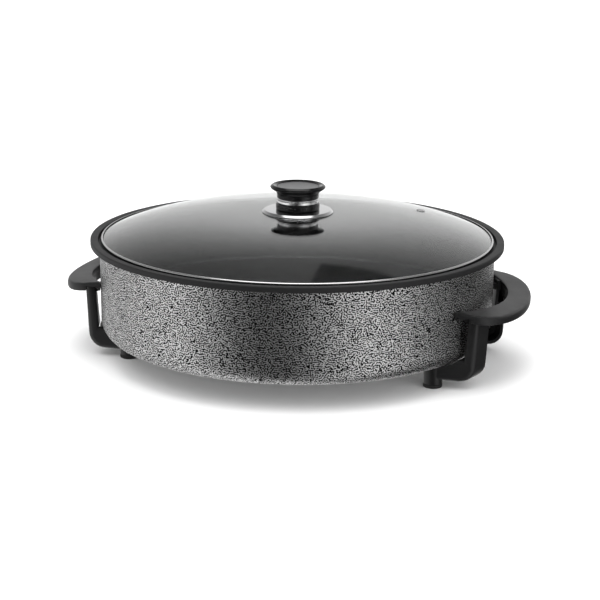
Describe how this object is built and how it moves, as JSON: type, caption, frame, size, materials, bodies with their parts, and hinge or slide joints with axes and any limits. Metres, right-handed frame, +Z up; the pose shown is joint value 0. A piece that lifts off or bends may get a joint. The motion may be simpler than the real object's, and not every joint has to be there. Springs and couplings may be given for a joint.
{
  "type": "electric pan",
  "caption": "Large round electric pan on short feet, with moulded side handles, a heat-control inlet underneath and a loose domed glass lid with a knob.",
  "frame": {"origin": "Middle of the flat plane that the four feet stand on, under the pan's axis.", "axes": "+Z up along the axis of the pan and lid. +X along the handles, towards the handle that has the inlet for the heat control under it. +Y makes the frame right-handed and points to the side of the lid's vent."},
  "size_m": [0.4812, 0.4224, 0.178],
  "materials": {
    "hammered_wall": "grey hammer-finish enamel with dark worm-like speckle, satin",
    "coated_pan": "cast aluminium with smooth black non-stick coating",
    "element_steel": "dull heat-toned steel tube",
    "pin_steel": "nickel-bright contact pins",
    "fixing_steel": "zinc-plated steel",
    "black_moulding": "black heat-resistant moulding, satin",
    "foot_rubber": "matt black rubber",
    "ceramic": "off-white ceramic insulator, matt",
    "lid_glass": "clear toughened glass, polished",
    "ring_steel": "bright rolled stainless steel",
    "silicone": "grey silicone",
    "knob_chrome": "polished chrome",
    "knob_black": "glossy black moulding",
    "cap_inlay": "satin dark grey inlay, plain"
  },
  "bodies": {
    "pan": {"housing": "hammered_wall", "pan_body": "coated_pan", "heating_element": "element_steel", "socket_guard": "black_moulding", "element_seal_front": "ceramic", "element_seal_rear": "ceramic", "contact_pin_front": "pin_steel", "contact_pin_rear": "pin_steel", "guard_screw_front": "fixing_steel", "guard_screw_rear": "fixing_steel", "handle_right": "black_moulding", "handle_left": "black_moulding", "foot_pad_right_a": "foot_rubber", "foot_washer_right_a": "fixing_steel", "handle_screw_right_a": "fixing_steel", "foot_pad_right_b": "foot_rubber", "foot_washer_right_b": "fixing_steel", "handle_screw_right_b": "fixing_steel", "foot_pad_left_a": "foot_rubber", "foot_washer_left_a": "fixing_steel", "handle_screw_left_a": "fixing_steel", "foot_pad_left_b": "foot_rubber", "foot_washer_left_b": "fixing_steel", "handle_screw_left_b": "fixing_steel"},
    "lid": {"lid_glass": "lid_glass", "lid_ring": "ring_steel", "vent_eyelet": "ring_steel", "knob_gasket_upper": "silicone", "knob_base": "knob_chrome", "knob_band": "knob_black", "knob_collar": "knob_chrome", "knob": "knob_black", "knob_cap": "cap_inlay", "knob_gasket_lower": "silicone", "knob_washer": "fixing_steel", "knob_screw": "fixing_steel"}
  },
  "joints": [
    {"name": "lid_lift", "type": "slide", "parent": "pan", "child": "lid", "axis": [0, 0, 1], "range_m": [0, 0.16]}
  ]
}
